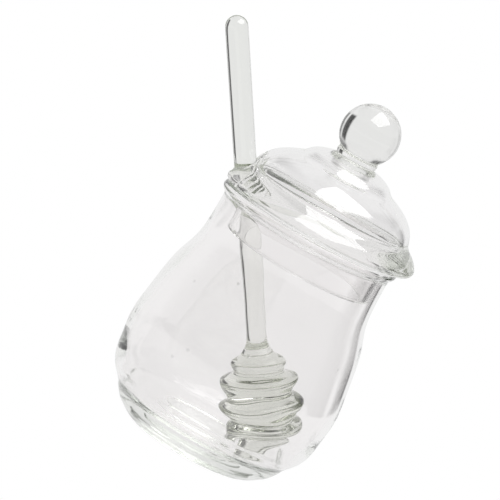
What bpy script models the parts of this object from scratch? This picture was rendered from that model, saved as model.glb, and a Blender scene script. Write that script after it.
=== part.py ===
"""Glass honey jar with a knobbed, notched lid and a glass honey dipper.

Three solids: jar, lid and dipper. Metres, +Z up. The origin is the centre of the jar's flat
foot, the notch in the lid is on the -X side, and the dipper's head lies low on the +X side.
"""

import math

import bmesh
import bpy
from mathutils import Matrix, Vector

MM = 0.001

# Driving sizes, in millimetres
BELLY_RADIUS = 40.15
BELLY_HEIGHT = 31.0
NECK_RADIUS = 32.05
WALL = 1.9
FLOOR_HEIGHT = 5.1
RIM_BEAD_RADIUS = 1.8
RIM_HEIGHT = 86.0
REST_GAP = 0.3

LID_SHIFT = 1.95
FLANGE_RADIUS = 36.3
FLANGE_BEAD_RADIUS = 2.0
SKIRT_RADIUS = 27.6
SKIRT_WALL = 2.1
SKIRT_END_HEIGHT = 73.6
KNOB_RADIUS = 10.7
KNOB_HEIGHT = 124.6
COLLAR_RADIUS = 7.4
NOTCH_RADIUS = 6.8
NOTCH_OFFSET = 1.1
NOTCH_REACH = 22.0
NOTCH_LENGTH = 70.0
NOTCH_MIDDLE = 105.0

DIPPER_TIP = Vector((24.35, 6.0, 8.35))
DIPPER_TOP = Vector((-57.8, -0.9, 138.0))
SHAFT_RADIUS_TOP = 4.05
SHAFT_RADIUS_LOW = 3.7
HEAD_LENGTH = 39.8

JAR_SEGMENTS = 48
LID_SEGMENTS = 44
DIPPER_SEGMENTS = 24

# Glass as seen in thin and in thick places
CLEAR_GLASS = (0.86, 0.87, 0.86, 0.35)
THICK_GLASS = (0.74, 0.77, 0.72, 0.45)
GLASS_ROUGHNESS = 0.03


def arc(centre, radius, start, end, steps):
    """Points (radius from the axis, height) on an arc, angles in degrees from the outward side."""
    points = []
    for i in range(steps + 1):
        angle = math.radians(start + (end - start) * i / steps)
        points.append((centre[0] + radius * math.cos(angle), centre[1] + radius * math.sin(angle)))
    return points


def bulge(start, end, rise, steps):
    """Points between two places on an outer side that runs down, swelling outward by rise."""
    points = []
    run = (end[0] - start[0], end[1] - start[1])
    length = math.hypot(*run)
    outward = (-run[1] / length, run[0] / length)
    for i in range(1, steps):
        t = i / steps
        swell = rise * math.sin(math.pi * t)
        points.append((start[0] + run[0] * t + outward[0] * swell,
                       start[1] + run[1] * t + outward[1] * swell))
    return points


def jar_profile():
    """Half section of the jar, from the inner floor over the rim to the foot."""
    inner = [
        (0.0, FLOOR_HEIGHT), (14.0, FLOOR_HEIGHT), (20.0, FLOOR_HEIGHT + 0.25),
        (25.0, FLOOR_HEIGHT + 1.5), (29.0, 9.4), (32.2, 13.3), (34.9, 18.0), (36.7, 23.5),
        (BELLY_RADIUS - WALL, BELLY_HEIGHT), (37.9, 36.0), (36.95, 42.0), (36.1, 48.0),
        (35.0, 54.0), (34.0, 58.0), (32.4, 62.0), (31.1, 66.0), (30.5, 70.0),
        (NECK_RADIUS - WALL, 77.0),
    ]
    rim = arc((NECK_RADIUS, RIM_HEIGHT), RIM_BEAD_RADIUS, 180, -65, 9)
    body = [
        (NECK_RADIUS, 83.6), (32.15, 76.0), (32.4, 70.0), (33.0, 66.0), (34.3, 62.0),
        (35.9, 58.0), (36.9, 54.0), (38.0, 48.0), (38.85, 42.0), (39.8, 36.0),
        (BELLY_RADIUS, BELLY_HEIGHT), (39.7, 27.0), (39.05, 23.0), (38.7, 19.2), (38.0, 16.0),
        (36.4, 13.1), (34.2, 10.5),
    ]
    creases = [(32.6, 8.9), (30.75, 5.5), (27.8, 2.7), (23.5, 0.0)]
    foot = [creases[0]]
    for upper, lower in zip(creases, creases[1:]):
        foot += bulge(upper, lower, 0.35, 3)
        foot.append(lower)
    return inner + rim + body + foot + [(0.0, 0.0)]


def lid_profile():
    """Half section of the lid, from the top of the knob down outside and up again inside."""
    collar_top = KNOB_HEIGHT - math.sqrt(KNOB_RADIUS ** 2 - COLLAR_RADIUS ** 2)
    collar_angle = math.degrees(math.asin((collar_top - KNOB_HEIGHT) / KNOB_RADIUS))
    knob = arc((0.0, KNOB_HEIGHT), KNOB_RADIUS, 90, collar_angle, 10)
    knob[0] = (0.0, KNOB_HEIGHT + KNOB_RADIUS)
    collar = [(COLLAR_RADIUS + 0.2, collar_top - 0.9), (COLLAR_RADIUS, collar_top - 2.0)]
    upper_dome = [(8.3, 113.9), (10.9, 113.2), (13.8, 112.1), (15.6, 110.8), (16.4, 109.6)]
    lower_dome = [
        (17.3, 108.9), (19.6, 108.0), (22.5, 106.6), (25.6, 104.8), (28.0, 102.7),
        (29.7, 100.1), (30.6, 97.7), (31.5, 95.8),
    ]
    bead_centre = (FLANGE_RADIUS - FLANGE_BEAD_RADIUS,
                   RIM_HEIGHT + RIM_BEAD_RADIUS + REST_GAP + FLANGE_BEAD_RADIUS)
    flange = [(33.2, 93.9)] + arc(bead_centre, FLANGE_BEAD_RADIUS, 55, -90, 6)
    underside = bead_centre[1] - FLANGE_BEAD_RADIUS
    end_radius = SKIRT_WALL / 2
    skirt = [(SKIRT_RADIUS + 0.8, underside), (SKIRT_RADIUS, underside - 0.8)]
    skirt += arc((SKIRT_RADIUS - end_radius, SKIRT_END_HEIGHT + end_radius), end_radius, 0, -180, 4)
    inside = [
        (SKIRT_RADIUS - SKIRT_WALL, 88.3), (26.8, 90.6), (28.3, 93.0), (28.7, 95.6),
        (28.2, 98.2), (27.0, 100.6), (25.2, 102.4), (22.5, 103.9), (19.0, 105.6), (16.3, 106.8),
        (14.6, 108.3), (12.4, 109.8), (8.4, 110.4), (7.8, 109.9), (0.0, 109.8),
    ]
    return knob + collar + upper_dome + lower_dome + flange + skirt + inside


def dipper_profile():
    """Half section of the dipper about its own axis, from the handle's top to the head's tip."""
    length = (DIPPER_TOP - DIPPER_TIP).length
    handle_end = length - SHAFT_RADIUS_TOP
    handle = arc((0.0, handle_end), SHAFT_RADIUS_TOP, 90, 0, 4)
    handle[0] = (0.0, length)
    neck = [(SHAFT_RADIUS_LOW, HEAD_LENGTH + 2.0), (SHAFT_RADIUS_LOW + 0.1, HEAD_LENGTH),
            (4.8, HEAD_LENGTH - 2.3)]
    # Each ring: outer radius, height of its middle, half its thickness, radius of the groove below
    rings = [
        (9.7, 32.6, 2.2, 8.4), (14.1, 26.2, 2.4, 10.4), (15.15, 17.7, 2.7, 11.0),
        (14.2, 9.3, 2.6, 6.9), (8.0, 3.1, 1.9, 5.4),
    ]
    head = []
    groove = 6.4
    for radius, middle, half, next_groove in rings:
        head.append((groove, middle + half + 0.3))
        head.append((radius - 1.1, middle + half))
        head.append((radius, middle + half * 0.35))
        head.append((radius, middle - half * 0.35))
        head.append((radius - 1.1, middle - half))
        head.append((next_groove, middle - half - 0.3))
        groove = next_groove
    return handle + neck + head + [(3.0, 0.3), (0.0, 0.1)]


def coil_tilt(height, angle):
    """How far a point of the dipper's head is shifted along the axis, so its rings lie askew."""
    fade = max(0.0, min(1.0, height / 6.0, (36.0 - height) / 12.0))
    return 0.7 * fade * math.cos(angle - 0.11 * (height - 8.0))


def turned(name, profile, segments, collection):
    """A closed solid turned about Z from a half section given in millimetres."""
    mesh = bpy.data.meshes.new(name)
    vertices = [(radius * MM, 0.0, height * MM) for radius, height in profile]
    edges = [(i, i + 1) for i in range(len(profile) - 1)]
    mesh.from_pydata(vertices, edges, [])
    obj = bpy.data.objects.new(name, mesh)
    collection.objects.link(obj)
    screw = obj.modifiers.new("turn", "SCREW")
    screw.axis = "Z"
    screw.angle = math.tau
    screw.steps = segments
    screw.render_steps = segments
    screw.use_merge_vertices = True
    screw.merge_threshold = 0.00001
    screw.use_smooth_shade = True
    return obj


def to_mesh(obj):
    """Replace an object's mesh and modifiers by what they make."""
    graph = bpy.context.evaluated_depsgraph_get()
    mesh = bpy.data.meshes.new_from_object(obj.evaluated_get(graph))
    obj.modifiers.clear()
    obj.data = mesh
    return obj


def glass(name, colour):
    """Plain see-through glass."""
    material = bpy.data.materials.new(name)
    material.use_nodes = True
    shader = material.node_tree.nodes["Principled BSDF"]
    shader.inputs["Base Color"].default_value = (*colour[:3], 1.0)
    shader.inputs["Alpha"].default_value = colour[3]
    shader.inputs["Roughness"].default_value = GLASS_ROUGHNESS
    shader.inputs["Metallic"].default_value = 0.0
    shader.inputs["Transmission Weight"].default_value = 1.0
    material.diffuse_color = colour
    return material


def dipper_axes():
    """The dipper's rest place: local Z along its axis, local -X away from the lid's middle."""
    along = (DIPPER_TOP - DIPPER_TIP).normalized()
    outward = Vector((-1.0, 0.0, 0.0))
    outward = (outward - along * outward.dot(along)).normalized()
    side = along.cross(-outward)
    turn = Matrix((-outward, side, along)).transposed().to_4x4()
    return Matrix.Translation(DIPPER_TIP * MM) @ turn


def make_jar(collection):
    jar = turned("jar", jar_profile(), JAR_SEGMENTS, collection)
    jar.data.materials.append(glass("jar_glass", CLEAR_GLASS))
    return jar


def make_notch_cutter(collection):
    """A slot with a round inner end, along the dipper's axis and open away from the lid."""
    form = bmesh.new()
    bmesh.ops.create_cone(form, cap_ends=True, segments=24, radius1=NOTCH_RADIUS * MM,
                          radius2=NOTCH_RADIUS * MM, depth=NOTCH_LENGTH * MM)
    for vertex in form.verts:
        if vertex.co.x < -0.001 * MM:
            vertex.co.x -= NOTCH_REACH * MM
        vertex.co.x += NOTCH_OFFSET * MM
        vertex.co.z += NOTCH_MIDDLE * MM
    mesh = bpy.data.meshes.new("notch_cutter")
    form.to_mesh(mesh)
    form.free()
    cutter = bpy.data.objects.new("notch_cutter", mesh)
    collection.objects.link(cutter)
    cutter.matrix_world = dipper_axes()
    cutter.hide_render = True
    cutter.display_type = "WIRE"
    return cutter


def make_lid(collection, cutter):
    lid = turned("lid", lid_profile(), LID_SEGMENTS, collection)
    lid.location.x = LID_SHIFT * MM
    cut = lid.modifiers.new("notch", "BOOLEAN")
    cut.operation = "DIFFERENCE"
    cut.object = cutter
    lid.data.materials.append(glass("lid_glass", CLEAR_GLASS))
    return lid


def make_dipper(collection):
    dipper = to_mesh(turned("dipper", dipper_profile(), DIPPER_SEGMENTS, collection))
    for vertex in dipper.data.vertices:
        angle = math.atan2(vertex.co.y, vertex.co.x)
        reach = math.hypot(vertex.co.x, vertex.co.y) / (15.0 * MM)
        vertex.co.z += coil_tilt(vertex.co.z / MM, angle) * min(1.0, reach) * MM
    dipper.data.materials.clear()
    dipper.data.materials.append(glass("dipper_glass", THICK_GLASS))
    dipper.matrix_world = dipper_axes()
    return dipper


def main():
    for obj in list(bpy.data.objects):
        bpy.data.objects.remove(obj, do_unlink=True)
    parts = bpy.data.collections.new("honey_jar")
    cutters = bpy.data.collections.new("cutters")
    bpy.context.scene.collection.children.link(parts)
    bpy.context.scene.collection.children.link(cutters)
    make_jar(parts)
    make_lid(parts, make_notch_cutter(cutters))
    make_dipper(parts)


main()
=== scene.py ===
"""Glass honey jar with a knobbed, notched lid and a glass honey dipper: the finished look.

Metres, +Z up. The origin is the centre of the jar's flat foot, the notch in the lid is on the
-X side, and the dipper's head lies low on the +X side. The sizes of the pieces are given in
millimetres, and those of the surroundings in metres.
"""

import math

import bpy
from mathutils import Matrix, Vector


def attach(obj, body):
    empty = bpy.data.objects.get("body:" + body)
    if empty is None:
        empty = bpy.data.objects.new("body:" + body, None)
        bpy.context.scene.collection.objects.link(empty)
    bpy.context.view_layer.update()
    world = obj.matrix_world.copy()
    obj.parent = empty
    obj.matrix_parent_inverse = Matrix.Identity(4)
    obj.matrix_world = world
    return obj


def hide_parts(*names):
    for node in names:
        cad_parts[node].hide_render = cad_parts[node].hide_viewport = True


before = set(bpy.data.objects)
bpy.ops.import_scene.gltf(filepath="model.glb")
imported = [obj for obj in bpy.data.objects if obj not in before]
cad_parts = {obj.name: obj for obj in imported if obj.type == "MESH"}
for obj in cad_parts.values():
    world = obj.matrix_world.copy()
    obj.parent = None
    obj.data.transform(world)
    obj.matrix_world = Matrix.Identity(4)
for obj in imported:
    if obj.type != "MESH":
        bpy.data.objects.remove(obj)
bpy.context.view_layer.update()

MM = 0.001

# Jar
BELLY_RADIUS = 40.15
BELLY_HEIGHT = 31.0
NECK_RADIUS = 32.05
WALL = 1.9
INNER_FLOOR_HEIGHT = 5.1
INNER_FLOOR_RADIUS = 26.0
FOOT_SWELL = 0.2
RIM_BEAD_RADIUS = 1.8
RIM_HEIGHT = 86.0
REST_GAP = 0.3

# The shallow swells in the jar's glass: their size and depth, the height where they begin on the
# sides, the margin under the inner floor, and the level of the noise that moves nothing
SWELL_SIZE = 22.0
SWELL_DEPTH = 0.3
SWELL_START = 14.0
SWELL_MARGIN = 0.5
SWELL_LEVEL = 0.75

# Lid
LID_SHIFT = 1.95
FLANGE_RADIUS = 36.3
FLANGE_BEAD_RADIUS = 2.0
SKIRT_RADIUS = 27.6
SKIRT_WALL = 2.1
SKIRT_END_HEIGHT = 73.6
DOME_WALL = 2.0
KNOB_RADIUS = 10.7
KNOB_HEIGHT = 124.6
COLLAR_RADIUS = 7.4

# The notch in the lid and the rounded lip over it
NOTCH_RADIUS = 6.8
NOTCH_OFFSET = 1.1
NOTCH_REACH = 22.0
NOTCH_LENGTH = 70.0
NOTCH_MIDDLE = 105.0
LIP_RADIUS = 1.0
LIP_RING_RADIUS = 6.9
LIP_TOP = Vector((-26.3, 1.3, 99.9))
LIP_FOOT = Vector((-28.0, 1.5, 93.0))
LIP_END = 91.5

# Dipper
DIPPER_TIP = Vector((24.35, 6.0, 8.35))
DIPPER_TOP = Vector((-57.77, -0.9, 137.93))
SHAFT_RADIUS_TOP = 4.05
SHAFT_RADIUS_LOW = 3.7
HEAD_LENGTH = 39.8
HEAD_RADIUS = 15.0
FIRST_GROOVE = 6.4

# Each ring of the head: outer radius, height of its middle, half its thickness, radius of the
# groove below
RINGS = (
    (9.7, 32.6, 2.2, 8.0),
    (14.1, 26.2, 2.4, 9.8),
    (15.15, 17.7, 2.9, 10.4),
    (14.2, 9.3, 2.7, 7.4),
    (9.6, 3.2, 1.8, 6.6),
)

# How the rings lie askew: how far, the turn in radians for each millimetre of height, the height
# without a turn, and where along the head it fades out
COIL_TILT = 0.7
COIL_TURN = 0.11
COIL_MIDDLE = 8.0
COIL_FADE_LOW = 6.0
COIL_FADE_HIGH = 12.0
COIL_END = 36.0

# How finely the pieces are turned, subdivided and cut
JAR_STEPS = 80
LID_STEPS = 78
DIPPER_STEPS = 48
SUBDIVISIONS = 2
TOOL_STEPS = 96
LIP_STEPS = (64, 24)
MERGE_DISTANCE = 0.002 * MM
NEAR_ZERO = 0.001 * MM
SHARP_ANGLE = 35.0

# Each glass: the tint of a thin wall, the colour of a thick one and how fast it comes, how many
# ripples there are to a metre, and the depth of the ripples and of the seed bubbles
JAR_GLASS = {
    "tint": (1.0, 0.99, 0.99), "depth_tint": (0.5, 0.59, 0.46), "depth_density": 4.2,
    "ripple_scale": 45.0, "ripple_depth": 0.08, "seed_depth": 0.1,
}
LID_GLASS = {
    "tint": (0.995, 0.99, 0.992), "depth_tint": (0.5, 0.56, 0.4), "depth_density": 5.0,
    "ripple_scale": 45.0, "ripple_depth": 0.08, "seed_depth": 0.1,
}
DIPPER_GLASS = {
    "tint": (0.985, 0.987, 0.98), "depth_tint": (0.5, 0.545, 0.39), "depth_density": 14.5,
    "ripple_scale": 60.0, "ripple_depth": 0.1, "seed_depth": 0.2,
}
GLASS_IOR = 1.5
RIPPLE_DETAIL = 1.5
RIPPLE_ROUGHNESS = 0.4
SEED_SCALE = 55.0
SEED_EDGES = (0.04, 0.02)
# Painted shade: the share of the glass colour left at each seed bubble
SEED_PAINTED_SHADE = 0.8

# The view: the jar stands upright and the camera is rolled, with its distance in metres and the
# place that it looks at in millimetres
CAMERA_DISTANCE = 1.6
CAMERA_ELEVATION = 9.0
CAMERA_ROLL = 29.3
CAMERA_AIM = Vector((-14.55, 0.0, 69.6))
CAMERA_CLIP_END = 50.0
PIXELS_PER_MM = 2.92
PICTURE_WIDTH = 500
SENSOR_WIDTH = 36.0

# Brightness of the surroundings as the glass shows them, behind the jar and in front, between
# which directions it changes, and how much farther round it reaches on the left
BACK = 0.86
FRONT = 0.18
BACK_EDGES = (-0.05, 0.58)
LEFT_LIGHT = 0.18

# The floor: its brightness as the glass shows it, behind the jar and in front, between which
# places it changes, and its size. The camera sees the floor evenly white; the darker floor that
# the glass sees is painted shade
PAINTED_FLOOR_BACK = 0.88
PAINTED_FLOOR_FRONT = 0.6
FLOOR_EDGES = (-0.5, 0.1)
FLOOR_RADIUS = 4.0
FLOOR_DROP = 0.0002
FLOOR_STEPS = 96

# The dark cards on the right, as bearings in degrees from straight behind the jar, with how dark
# each is, how high they reach, and how far out they begin to darken the floor. No card is built:
# in the world they are darker surroundings, and on the floor they are painted shade for the glass
CARDS = ((34.0, 51.0, 0.95), (61.0, 88.0, 0.9))
CARD_SOFTNESS = 3.0
CARD_TOP_EDGES = (0.3, 0.5)
CARD_FLOOR_EDGES = (0.3, 0.4)

# The dark upper corners to both sides, by how far up and sideways a direction points
CORNER_HEIGHT_EDGES = (0.35, 0.55)
CORNER_SIDE_EDGES = (0.3, 0.5)
CORNER_DARK = 0.75

# The softboxes overhead, in metres and degrees, then for each its name, its height, its radiance,
# and whether it also shines through glass
SOFTBOX_PLACE = (0.12, -0.25)
SOFTBOX_SIZE = (0.75, 1.05)
SOFTBOX_TURN = -22.0
SOFTBOXES = (("overhead", 1.0, 2.2, True), ("highlight", 1.02, 2.5, False))

# How often light is followed through the glass
GLASS_BOUNCES = 64
TRANSPARENT_BOUNCES = 16


def arc(centre, radius, start, end, steps):
    """Points (radius from the axis, height) on an arc, angles in degrees from the outward side."""
    points = []
    for i in range(steps + 1):
        angle = math.radians(start + (end - start) * i / steps)
        points.append((centre[0] + radius * math.cos(angle), centre[1] + radius * math.sin(angle)))
    return points


def bulge(start, end, rise, steps):
    """Points between two places on an outer side that runs down, swelling outward by rise."""
    points = []
    run = (end[0] - start[0], end[1] - start[1])
    length = math.hypot(*run)
    outward = (-run[1] / length, run[0] / length)
    for i in range(1, steps):
        t = i / steps
        swell = rise * math.sin(math.pi * t)
        points.append((start[0] + run[0] * t + outward[0] * swell,
                       start[1] + run[1] * t + outward[1] * swell))
    return points


def inset(points, distance):
    """The points of an outer side that runs down, moved straight into the glass by a distance."""
    moved = []
    for i, point in enumerate(points):
        before = points[max(0, i - 1)]
        after = points[min(len(points) - 1, i + 1)]
        run = (after[0] - before[0], after[1] - before[1])
        length = math.hypot(*run)
        moved.append((point[0] + run[1] / length * distance, point[1] - run[0] / length * distance))
    return moved


def jar_outline():
    """Half section of the jar, from the inner floor over the rim to the foot."""
    inner = [
        (0.0, INNER_FLOOR_HEIGHT), (7.0, INNER_FLOOR_HEIGHT + 0.06),
        (13.0, INNER_FLOOR_HEIGHT + 0.2), (18.5, INNER_FLOOR_HEIGHT + 0.5), (23.0, 6.2),
        (27.2, 7.4), (30.8, 9.4), (33.6, 12.5), (35.7, 16.8), (37.1, 22.5),
        (BELLY_RADIUS - WALL, BELLY_HEIGHT), (37.9, 36.0), (36.95, 42.0), (36.1, 48.0),
        (35.0, 54.0), (34.0, 58.0), (32.4, 62.0), (31.1, 66.0), (30.5, 70.0),
        (NECK_RADIUS - WALL, 77.0), (NECK_RADIUS - WALL, 82.0),
    ]
    rim = arc((NECK_RADIUS, RIM_HEIGHT), RIM_BEAD_RADIUS, 180, -65, 9)
    body = [
        (NECK_RADIUS, 83.6), (32.1, 80.0), (32.15, 76.0), (32.4, 70.0), (33.0, 66.0), (34.3, 62.0),
        (35.9, 58.0), (36.9, 54.0), (38.0, 48.0), (38.85, 42.0), (39.8, 36.0),
        (BELLY_RADIUS, BELLY_HEIGHT), (39.7, 27.0), (39.05, 23.0), (38.7, 19.2), (38.0, 16.0),
        (36.4, 13.1), (34.2, 10.5),
    ]
    creases = [(32.6, 8.9), (30.75, 5.5), (27.8, 2.7), (23.5, 0.0)]
    foot = [creases[0]]
    for upper, lower in zip(creases, creases[1:]):
        foot += bulge(upper, lower, FOOT_SWELL, 4)
        foot.append(lower)
    return inner + rim + body + foot + [(22.8, 0.0), (15.0, 0.0), (8.0, 0.0), (0.0, 0.0)]


def lid_outline():
    """Half section of the lid, from the top of the knob down outside and up again inside."""
    collar_top = KNOB_HEIGHT - math.sqrt(KNOB_RADIUS ** 2 - COLLAR_RADIUS ** 2)
    collar_angle = math.degrees(math.asin((collar_top - KNOB_HEIGHT) / KNOB_RADIUS))
    knob = arc((0.0, KNOB_HEIGHT), KNOB_RADIUS, 90, collar_angle, 12)
    knob[0] = (0.0, KNOB_HEIGHT + KNOB_RADIUS)
    collar = [
        (COLLAR_RADIUS, collar_top - 0.3), (COLLAR_RADIUS + 0.35, collar_top - 0.8),
        (COLLAR_RADIUS + 0.2, collar_top - 1.7), (COLLAR_RADIUS, collar_top - 2.3),
        (COLLAR_RADIUS + 0.1, collar_top - 2.7),
    ]
    upper_dome = [(8.0, 113.95), (10.9, 113.2), (13.8, 112.1), (15.6, 110.8), (16.5, 109.6)]
    lower_dome = [
        (17.6, 108.8), (20.0, 107.8), (22.7, 106.5), (25.5, 104.8), (27.8, 102.6),
        (29.3, 100.0), (29.8, 98.3), (30.3, 97.0),
    ]
    bead_centre = (FLANGE_RADIUS - FLANGE_BEAD_RADIUS,
                   RIM_HEIGHT + RIM_BEAD_RADIUS + REST_GAP + FLANGE_BEAD_RADIUS)
    flange = [(31.1, 95.9), (32.4, 94.9), (33.9, 93.8), (35.1, 92.5)]
    flange += arc(bead_centre, FLANGE_BEAD_RADIUS, 30, -90, 6)
    underside = bead_centre[1] - FLANGE_BEAD_RADIUS
    end_radius = SKIRT_WALL / 2
    skirt = [
        (31.0, underside), (SKIRT_RADIUS + 0.8, underside), (SKIRT_RADIUS, underside - 0.8),
        (SKIRT_RADIUS, 83.0), (SKIRT_RADIUS, 78.0),
    ]
    skirt += arc((SKIRT_RADIUS - end_radius, SKIRT_END_HEIGHT + end_radius), end_radius, 0, -180, 5)
    inside = [
        (SKIRT_RADIUS - SKIRT_WALL, 78.0), (SKIRT_RADIUS - SKIRT_WALL, 83.0),
        (SKIRT_RADIUS - SKIRT_WALL, 86.5), (25.75, 88.8), (26.3, 91.1), (27.0, 93.4), (27.7, 95.2),
    ]
    inside += list(reversed(inset(lower_dome, DOME_WALL)))
    crown = list(reversed(inset(upper_dome, DOME_WALL))) + [(4.0, 111.9), (0.0, 112.0)]
    return knob + collar + upper_dome + lower_dome + flange + skirt + inside + crown


def dipper_outline():
    """Half section of the dipper about its own axis, from the handle's top to the head's tip."""
    length = (DIPPER_TOP - DIPPER_TIP).length
    handle_end = length - SHAFT_RADIUS_TOP
    handle = arc((0.0, handle_end), SHAFT_RADIUS_TOP, 90, 0, 6)
    handle[0] = (0.0, length)
    shaft = []
    for i in range(1, 12):
        t = i / 12
        shaft.append((SHAFT_RADIUS_TOP + (SHAFT_RADIUS_LOW - SHAFT_RADIUS_TOP) * t,
                      handle_end + (HEAD_LENGTH + 2.0 - handle_end) * t))
    neck = [(SHAFT_RADIUS_LOW, HEAD_LENGTH + 2.0), (SHAFT_RADIUS_LOW + 0.1, HEAD_LENGTH),
            (4.8, HEAD_LENGTH - 2.3)]
    head = []
    groove = FIRST_GROOVE
    for radius, middle, half, next_groove in RINGS:
        head.append((groove, middle + half + 0.4))
        head.append((radius - 0.9, middle + half * 0.85))
        head.append((radius + 0.15, middle + half * 0.1))
        head.append((radius - 0.9, middle - half * 0.7))
        groove = next_groove
    head.append((groove, middle - half - 0.3))
    return handle + shaft + neck + head + [(3.0, 0.3), (0.0, 0.1)]


def coil_tilt(height, angle):
    """How far a point of the dipper's head is shifted along the axis, so its rings lie askew."""
    fade = max(0.0, min(1.0, height / COIL_FADE_LOW, (COIL_END - height) / COIL_FADE_HIGH))
    return COIL_TILT * fade * math.cos(angle - COIL_TURN * (height - COIL_MIDDLE))


def spun(name, outline, steps):
    """A closed turned mesh: the outline is drawn point by point, then spun about Z."""
    bpy.ops.object.select_all(action="DESELECT")
    bpy.ops.mesh.primitive_plane_add(size=1.0 * MM, location=(0.0, 0.0, 0.0))
    piece = bpy.context.object
    piece.name = name
    piece.data.name = name
    places = [Vector((radius * MM, 0.0, height * MM)) for radius, height in outline]
    bpy.ops.object.mode_set(mode="EDIT")
    bpy.ops.mesh.select_mode(type="VERT")
    bpy.ops.mesh.select_all(action="SELECT")
    bpy.ops.mesh.merge(type="CENTER")
    bpy.ops.transform.translate(value=places[0])
    for start, end in zip(places, places[1:]):
        bpy.ops.mesh.extrude_region_move(TRANSFORM_OT_translate={"value": end - start})
    bpy.ops.mesh.select_all(action="SELECT")
    bpy.ops.mesh.spin(steps=steps, angle=math.tau, center=(0.0, 0.0, 0.0), axis=(0.0, 0.0, 1.0))
    bpy.ops.mesh.select_all(action="SELECT")
    bpy.ops.mesh.remove_doubles(threshold=MERGE_DISTANCE)
    bpy.ops.mesh.normals_make_consistent(inside=False)
    bpy.ops.object.mode_set(mode="OBJECT")
    return piece


def use(piece):
    """Make a piece the only selected and active object."""
    bpy.ops.object.select_all(action="DESELECT")
    piece.select_set(True)
    bpy.context.view_layer.objects.active = piece


def finish_with(piece, kind, **settings):
    """Add a modifier with its settings and apply it."""
    use(piece)
    modifier = piece.modifiers.new(kind.lower(), kind)
    for setting, value in settings.items():
        setattr(modifier, setting, value)
    bpy.ops.object.modifier_apply(modifier=modifier.name)


def subdivide(piece):
    """Round a turned piece off between its points."""
    finish_with(piece, "SUBSURF", levels=SUBDIVISIONS, render_levels=SUBDIVISIONS)


def waver(piece):
    """Uneven drawing of the jar's glass: shallow swells over its inner floor and up its sides."""
    texture = bpy.data.textures.new(piece.name + "_waver", "CLOUDS")
    texture.noise_scale = SWELL_SIZE * MM
    texture.noise_depth = 1
    group = piece.vertex_groups.new(name="wavering")
    free = []
    for vertex in piece.data.vertices:
        on_side = vertex.co.z > SWELL_START * MM
        above_base = vertex.co.z > (INNER_FLOOR_HEIGHT - SWELL_MARGIN) * MM
        if on_side or (above_base and vertex.co.xy.length < INNER_FLOOR_RADIUS * MM):
            free.append(vertex.index)
    group.add(free, 1.0, "REPLACE")
    finish_with(piece, "DISPLACE", texture=texture, texture_coords="LOCAL",
                strength=SWELL_DEPTH * MM, mid_level=SWELL_LEVEL, vertex_group="wavering")
    piece.vertex_groups.clear()


def node(tree, kind, place, **settings):
    """Add a shader node at a place in its tree."""
    made = tree.nodes.new(kind)
    made.location = place
    for setting, value in settings.items():
        setattr(made, setting, value)
    return made


def feed(tree, socket, value):
    """Set a socket to a number, or link another socket to it."""
    if isinstance(value, float):
        socket.default_value = value
    else:
        tree.links.new(value, socket)


def maths(tree, place, operation, *values):
    """The result of an operation on values, each a number or a socket."""
    made = node(tree, "ShaderNodeMath", place, operation=operation)
    for socket, value in zip(made.inputs, values):
        feed(tree, socket, value)
    return made.outputs["Value"]


def ranged(tree, place, source, edges, ends):
    """A smooth step of a value, from the first end at the first edge to the second at the second."""
    step = node(tree, "ShaderNodeMapRange", place, interpolation_type="SMOOTHSTEP")
    step.inputs["From Min"].default_value = edges[0]
    step.inputs["From Max"].default_value = edges[1]
    step.inputs["To Min"].default_value = ends[0]
    step.inputs["To Max"].default_value = ends[1]
    tree.links.new(source, step.inputs["Value"])
    return step.outputs["Result"]


def blended(tree, place, factor, plain, other):
    """One value where the factor is zero, and another where it is one."""
    mix = node(tree, "ShaderNodeMix", place, data_type="FLOAT")
    feed(tree, mix.inputs["Factor"], factor)
    feed(tree, mix.inputs["A"], plain)
    feed(tree, mix.inputs["B"], other)
    return mix.outputs["Result"]


def drawn_glass_group():
    """Height of hand-drawn glass: long ripples and a few seed bubbles, and where the seeds lie, for
    their painted shade.
    """
    group = bpy.data.node_groups.new("drawn_glass", "ShaderNodeTree")
    for name in ("Ripple Scale", "Ripple Depth", "Seed Depth"):
        group.interface.new_socket(name=name, in_out="INPUT", socket_type="NodeSocketFloat")
    group.interface.new_socket(name="Place", in_out="INPUT", socket_type="NodeSocketVector")
    group.interface.new_socket(name="Height", in_out="OUTPUT", socket_type="NodeSocketFloat")
    group.interface.new_socket(name="Seeds", in_out="OUTPUT", socket_type="NodeSocketFloat")
    inside = node(group, "NodeGroupInput", (-700, 0))
    outside = node(group, "NodeGroupOutput", (600, 0))
    link = group.links.new
    ripple = node(group, "ShaderNodeTexNoise", (-400, 200))
    ripple.inputs["Detail"].default_value = RIPPLE_DETAIL
    ripple.inputs["Roughness"].default_value = RIPPLE_ROUGHNESS
    link(inside.outputs["Place"], ripple.inputs["Vector"])
    link(inside.outputs["Ripple Scale"], ripple.inputs["Scale"])
    seeds = node(group, "ShaderNodeTexVoronoi", (-400, -100))
    seeds.inputs["Scale"].default_value = SEED_SCALE
    link(inside.outputs["Place"], seeds.inputs["Vector"])
    spot = ranged(group, (-200, -100), seeds.outputs["Distance"], SEED_EDGES, (0.0, 1.0))
    ripples = maths(group, (0, 200), "MULTIPLY", ripple.outputs["Fac"], inside.outputs["Ripple Depth"])
    spots = maths(group, (0, -100), "MULTIPLY", spot, inside.outputs["Seed Depth"])
    link(maths(group, (200, 100), "ADD", ripples, spots), outside.inputs["Height"])
    link(spot, outside.inputs["Seeds"])


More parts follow.
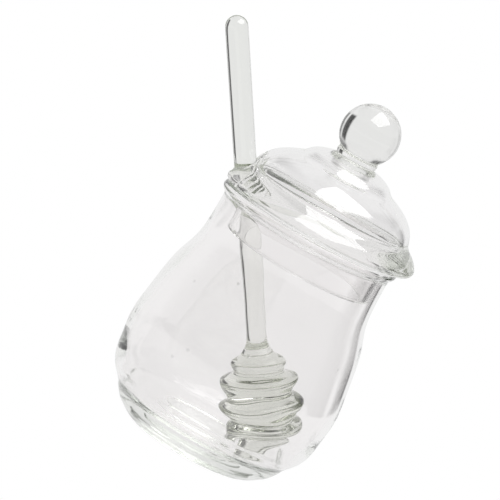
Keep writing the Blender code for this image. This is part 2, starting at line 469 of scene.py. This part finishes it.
def glass(name, tint, depth_tint, depth_density, ripple_scale, ripple_depth, seed_depth):
    """Clear glass with a thin-wall tint, a colour that grows with depth, drawn ripples, and painted
    shade at the seed bubbles.
    """
    material = bpy.data.materials.new(name)
    material.use_nodes = True
    tree = material.node_tree
    link = tree.links.new
    shader = tree.nodes["Principled BSDF"]
    output = tree.nodes["Material Output"]
    shader.inputs["Roughness"].default_value = 0.0
    shader.inputs["IOR"].default_value = GLASS_IOR
    shader.inputs["Metallic"].default_value = 0.0
    shader.inputs["Transmission Weight"].default_value = 1.0
    place = node(tree, "ShaderNodeTexCoord", (-900, 0))
    drawn = node(tree, "ShaderNodeGroup", (-650, 0))
    drawn.node_tree = bpy.data.node_groups["drawn_glass"]
    drawn.inputs["Ripple Scale"].default_value = ripple_scale
    drawn.inputs["Ripple Depth"].default_value = ripple_depth
    drawn.inputs["Seed Depth"].default_value = seed_depth
    link(place.outputs["Object"], drawn.inputs["Place"])
    relief = node(tree, "ShaderNodeBump", (-350, -250))
    relief.inputs["Strength"].default_value = 1.0
    relief.inputs["Distance"].default_value = 1.0 * MM
    link(drawn.outputs["Height"], relief.inputs["Height"])
    link(relief.outputs["Normal"], shader.inputs["Normal"])
    # Painted shade: the glass colour is darker at the seed bubbles
    colour = node(tree, "ShaderNodeMix", (-350, 150), data_type="RGBA")
    colour.inputs["A"].default_value = (*tint, 1.0)
    colour.inputs["B"].default_value = (*(SEED_PAINTED_SHADE * c for c in tint), 1.0)
    link(drawn.outputs["Seeds"], colour.inputs["Factor"])
    link(colour.outputs["Result"], shader.inputs["Base Color"])
    depth = node(tree, "ShaderNodeVolumeAbsorption", (0, -400))
    depth.inputs["Color"].default_value = (*depth_tint, 1.0)
    depth.inputs["Density"].default_value = depth_density
    link(depth.outputs["Volume"], output.inputs["Volume"])
    return material


def dress(piece, material, slot, *nodes):
    """Give a finished piece its glass, and let it stand for its solid."""
    use(piece)
    bpy.ops.object.shade_smooth_by_angle(angle=math.radians(SHARP_ANGLE))
    piece.data.materials.clear()
    piece.data.materials.append(material)
    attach(piece, "root")
    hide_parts(*nodes)


def make_jar():
    """The jar, with slightly uneven glass."""
    jar = spun("jar_glass", jar_outline(), JAR_STEPS)
    subdivide(jar)
    waver(jar)
    dress(jar, glass("clear_jar_glass", **JAR_GLASS), "jar_glass", "jar")


def dipper_axes():
    """The dipper's rest place: local Z along its axis, local -X away from the lid's middle."""
    along = (DIPPER_TOP - DIPPER_TIP).normalized()
    outward = Vector((-1.0, 0.0, 0.0))
    outward = (outward - along * outward.dot(along)).normalized()
    side = along.cross(-outward)
    turn = Matrix((-outward, side, along)).transposed().to_4x4()
    return Matrix.Translation(DIPPER_TIP * MM) @ turn


def notch_tool():
    """A slot with a round inner end, along the dipper's axis and open away from the lid."""
    bpy.ops.object.select_all(action="DESELECT")
    bpy.ops.mesh.primitive_cylinder_add(vertices=TOOL_STEPS, radius=NOTCH_RADIUS * MM,
                                        depth=NOTCH_LENGTH * MM)
    tool = bpy.context.object
    bpy.ops.object.mode_set(mode="EDIT")
    bpy.ops.mesh.select_mode(type="VERT")
    bpy.ops.mesh.select_all(action="DESELECT")
    bpy.ops.object.mode_set(mode="OBJECT")
    for vertex in tool.data.vertices:
        vertex.select = vertex.co.x < -NEAR_ZERO
    bpy.ops.object.mode_set(mode="EDIT")
    bpy.ops.transform.translate(value=(-NOTCH_REACH * MM, 0.0, 0.0))
    bpy.ops.mesh.select_all(action="SELECT")
    bpy.ops.transform.translate(value=(NOTCH_OFFSET * MM, 0.0, NOTCH_MIDDLE * MM))
    bpy.ops.object.mode_set(mode="OBJECT")
    tool.matrix_world = dipper_axes()
    bpy.context.view_layer.update()
    return tool


def notch_lip():
    """A rounded bead over the top and down both sides of the notch in the dome."""
    bpy.ops.object.select_all(action="DESELECT")
    bpy.ops.mesh.primitive_torus_add(major_radius=LIP_RING_RADIUS * MM, minor_radius=LIP_RADIUS * MM,
                                     major_segments=LIP_STEPS[0], minor_segments=LIP_STEPS[1])
    lip = bpy.context.object
    bpy.ops.object.mode_set(mode="EDIT")
    bpy.ops.mesh.select_all(action="SELECT")
    bpy.ops.mesh.bisect(plane_co=(0.0, 0.0, 0.0), plane_no=(0.0, 1.0, 0.0), use_fill=True,
                        clear_inner=True)
    bpy.ops.mesh.select_all(action="SELECT")
    rise = (LIP_TOP - LIP_FOOT).length
    bpy.ops.transform.resize(value=(1.0, rise / LIP_RING_RADIUS, 1.0), center_override=(0.0, 0.0, 0.0))
    bpy.ops.mesh.select_all(action="DESELECT")
    bpy.ops.object.mode_set(mode="OBJECT")
    for vertex in lip.data.vertices:
        vertex.select = vertex.co.y < NEAR_ZERO
    bpy.ops.object.mode_set(mode="EDIT")
    bpy.ops.transform.translate(value=(0.0, (LIP_END - LIP_FOOT.z) * MM, 0.0))
    bpy.ops.mesh.select_all(action="SELECT")
    bpy.ops.mesh.normals_make_consistent(inside=False)
    bpy.ops.object.mode_set(mode="OBJECT")
    up = (LIP_TOP - LIP_FOOT).normalized()
    across = Vector((0.0, 1.0, 0.0))
    across = (across - up * across.dot(up)).normalized()
    place = Matrix((across, up, across.cross(up))).transposed().to_4x4()
    lip.matrix_world = Matrix.Translation(LIP_FOOT * MM) @ place
    bpy.context.view_layer.update()
    return lip


def combine(piece, other, operation):
    """Cut another shape out of a piece, or add it, and remove the other shape."""
    finish_with(piece, "BOOLEAN", operation=operation, object=other, solver="EXACT")
    bpy.data.objects.remove(other, do_unlink=True)


def make_lid():
    """The lid, with its notch and the lip over it."""
    lid = spun("lid_glass", lid_outline(), LID_STEPS)
    lid.location.x = LID_SHIFT * MM
    use(lid)
    bpy.ops.object.transform_apply(location=True, rotation=False, scale=False)
    subdivide(lid)
    combine(lid, notch_tool(), "DIFFERENCE")
    combine(lid, notch_lip(), "UNION")
    dress(lid, glass("clear_lid_glass", **LID_GLASS), "lid_glass", "lid")


def make_dipper():
    """The dipper, turned, with its rings askew, then laid in its rest place."""
    dipper = spun("dipper_glass", dipper_outline(), DIPPER_STEPS)
    for vertex in dipper.data.vertices:
        angle = math.atan2(vertex.co.y, vertex.co.x)
        reach = math.hypot(vertex.co.x, vertex.co.y) / (HEAD_RADIUS * MM)
        vertex.co.z += coil_tilt(vertex.co.z / MM, angle) * min(1.0, reach) * MM
    subdivide(dipper)
    dipper.matrix_world = dipper_axes()
    use(dipper)
    bpy.ops.object.transform_apply(location=True, rotation=True, scale=False)
    dress(dipper, glass("thick_dipper_glass", **DIPPER_GLASS), "dipper_glass", "dipper")


def add_camera():
    """A long lens from the front and slightly above, rolled as the jar leans in the picture."""
    elevation = math.radians(CAMERA_ELEVATION)
    roll = math.radians(CAMERA_ROLL)
    forward = Vector((0.0, math.cos(elevation), -math.sin(elevation)))
    right = Vector((1.0, 0.0, 0.0))
    up = right.cross(forward)
    rolled_right = right * math.cos(roll) + up * math.sin(roll)
    rolled_up = up * math.cos(roll) - right * math.sin(roll)
    data = bpy.data.cameras.new("camera")
    data.sensor_width = SENSOR_WIDTH
    data.lens = SENSOR_WIDTH * CAMERA_DISTANCE / (PICTURE_WIDTH / PIXELS_PER_MM * MM)
    data.clip_end = CAMERA_CLIP_END
    camera = bpy.data.objects.new("camera", data)
    bpy.context.scene.collection.objects.link(camera)
    place = Matrix((rolled_right, rolled_up, -forward)).transposed().to_4x4()
    place.translation = CAMERA_AIM * MM - forward * CAMERA_DISTANCE
    camera.matrix_world = place
    bpy.context.scene.camera = camera


def bearing_of(tree, split):
    """The angle from straight behind the jar, positive to the right, in radians."""
    return maths(tree, (-700, -400), "ARCTAN2", split.outputs["X"], split.outputs["Y"])


def card_shade(tree, bearing):
    """How much light the dark cards leave at a bearing: one where there is no card; on the floor this
    is painted shade.
    """
    left = 1.0
    soft = math.radians(CARD_SOFTNESS)
    for start, stop, dark in CARDS:
        middle = math.radians((start + stop) / 2)
        half = math.radians((stop - start) / 2)
        off = maths(tree, (-600, -500), "SUBTRACT", bearing, middle)
        away = maths(tree, (-500, -500), "ABSOLUTE", off)
        light = ranged(tree, (-400, -500), away, (half - soft, half + soft), (1.0 - dark, 1.0))
        left = maths(tree, (-200, -500), "MULTIPLY", light, left)
    return left


def add_floor():
    """A plain white floor, lit evenly, with painted shade that only the glass sees: in front and under
    the cards.
    """
    bpy.ops.object.select_all(action="DESELECT")
    bpy.ops.mesh.primitive_circle_add(vertices=FLOOR_STEPS, radius=FLOOR_RADIUS, fill_type="NGON",
                                      location=(0.0, 0.0, -FLOOR_DROP))
    floor = bpy.context.object
    floor.name = "floor"
    material = bpy.data.materials.new("floor_white_with_painted_shade")
    material.use_nodes = True
    tree = material.node_tree
    tree.nodes.remove(tree.nodes["Principled BSDF"])
    glow = node(tree, "ShaderNodeEmission", (0, 0))
    path = node(tree, "ShaderNodeLightPath", (-400, 0))
    place = node(tree, "ShaderNodeTexCoord", (-800, -200))
    split = node(tree, "ShaderNodeSeparateXYZ", (-600, -200))
    tree.links.new(place.outputs["Object"], split.inputs["Vector"])
    # Painted shade for the glass: the floor darker in front, and dark wedges where the cards are
    behind = ranged(tree, (-400, -300), split.outputs["Y"], FLOOR_EDGES, (PAINTED_FLOOR_FRONT, PAINTED_FLOOR_BACK))
    far = node(tree, "ShaderNodeVectorMath", (-600, -700), operation="LENGTH")
    tree.links.new(place.outputs["Object"], far.inputs[0])
    reached = ranged(tree, (-400, -700), far.outputs["Value"], CARD_FLOOR_EDGES, (0.0, 1.0))
    shade = card_shade(tree, bearing_of(tree, split))
    painted_card_shade = blended(tree, (-200, -400), reached, 1.0, shade)
    in_glass = maths(tree, (-100, -300), "MULTIPLY", behind, painted_card_shade)
    # The camera sees the plain white floor; all other rays see the painted shade
    bright = blended(tree, (-200, 0), path.outputs["Is Camera Ray"], in_glass, 1.0)
    tree.links.new(bright, glow.inputs["Strength"])
    tree.links.new(glow.outputs["Emission"], tree.nodes["Material Output"].inputs["Surface"])
    floor.data.materials.append(material)


def add_world():
    """Surroundings: light behind the jar, dark in front, at the cards and in the upper corners."""
    world = bpy.data.worlds.new("studio")
    bpy.context.scene.world = world
    world.use_nodes = True
    tree = world.node_tree
    background = tree.nodes["Background"]
    path = node(tree, "ShaderNodeLightPath", (-400, 200))
    place = node(tree, "ShaderNodeTexCoord", (-800, -200))
    split = node(tree, "ShaderNodeSeparateXYZ", (-600, -200))
    tree.links.new(place.outputs["Generated"], split.inputs["Vector"])
    sideways = maths(tree, (-600, -300), "MULTIPLY", split.outputs["X"], LEFT_LIGHT)
    turned = maths(tree, (-500, -300), "SUBTRACT", split.outputs["Y"], sideways)
    behind = ranged(tree, (-400, -300), turned, BACK_EDGES, (FRONT, BACK))
    over = ranged(tree, (-400, -600), split.outputs["Z"], CARD_TOP_EDGES, (0.0, 1.0))
    shade = card_shade(tree, bearing_of(tree, split))
    cards = blended(tree, (-200, -500), over, shade, 1.0)
    side = maths(tree, (-600, -800), "ABSOLUTE", split.outputs["X"])
    high = ranged(tree, (-400, -800), split.outputs["Z"], CORNER_HEIGHT_EDGES, (0.0, 1.0))
    wide = ranged(tree, (-400, -1000), side, CORNER_SIDE_EDGES, (0.0, 1.0))
    both = maths(tree, (-200, -900), "MULTIPLY", high, wide)
    corner = ranged(tree, (-100, -900), both, (0.0, 1.0), (1.0, 1.0 - CORNER_DARK))
    lit = maths(tree, (-200, -400), "MULTIPLY", behind, corner)
    in_glass = maths(tree, (-100, -400), "MULTIPLY", lit, cards)
    bright = blended(tree, (0, 0), path.outputs["Is Camera Ray"], in_glass, 1.0)
    tree.links.new(bright, background.inputs["Strength"])
    background.inputs["Color"].default_value = (1.0, 1.0, 1.0, 1.0)


def add_softbox(name, height, radiance, in_glass):
    """A flat light overhead, turned about the vertical, that also shines through glass or not."""
    width, length = SOFTBOX_SIZE
    data = bpy.data.lights.new(name, "AREA")
    data.shape = "RECTANGLE"
    data.size = width
    data.size_y = length
    data.energy = radiance * math.pi * width * length
    light = bpy.data.objects.new(name, data)
    bpy.context.scene.collection.objects.link(light)
    light.location = (*SOFTBOX_PLACE, height)
    light.rotation_euler = (0.0, 0.0, math.radians(SOFTBOX_TURN))
    light.visible_transmission = in_glass


def main():
    """The three pieces, the view and the surroundings."""
    drawn_glass_group()
    make_jar()
    make_lid()
    make_dipper()
    add_camera()
    add_floor()
    add_world()
    for softbox in SOFTBOXES:
        add_softbox(*softbox)
    scene = bpy.context.scene
    scene.view_settings.view_transform = "Standard"
    scene.cycles.max_bounces = GLASS_BOUNCES
    scene.cycles.transmission_bounces = GLASS_BOUNCES
    scene.cycles.glossy_bounces = GLASS_BOUNCES
    scene.cycles.transparent_max_bounces = TRANSPARENT_BOUNCES
    bpy.context.view_layer.update()


main()
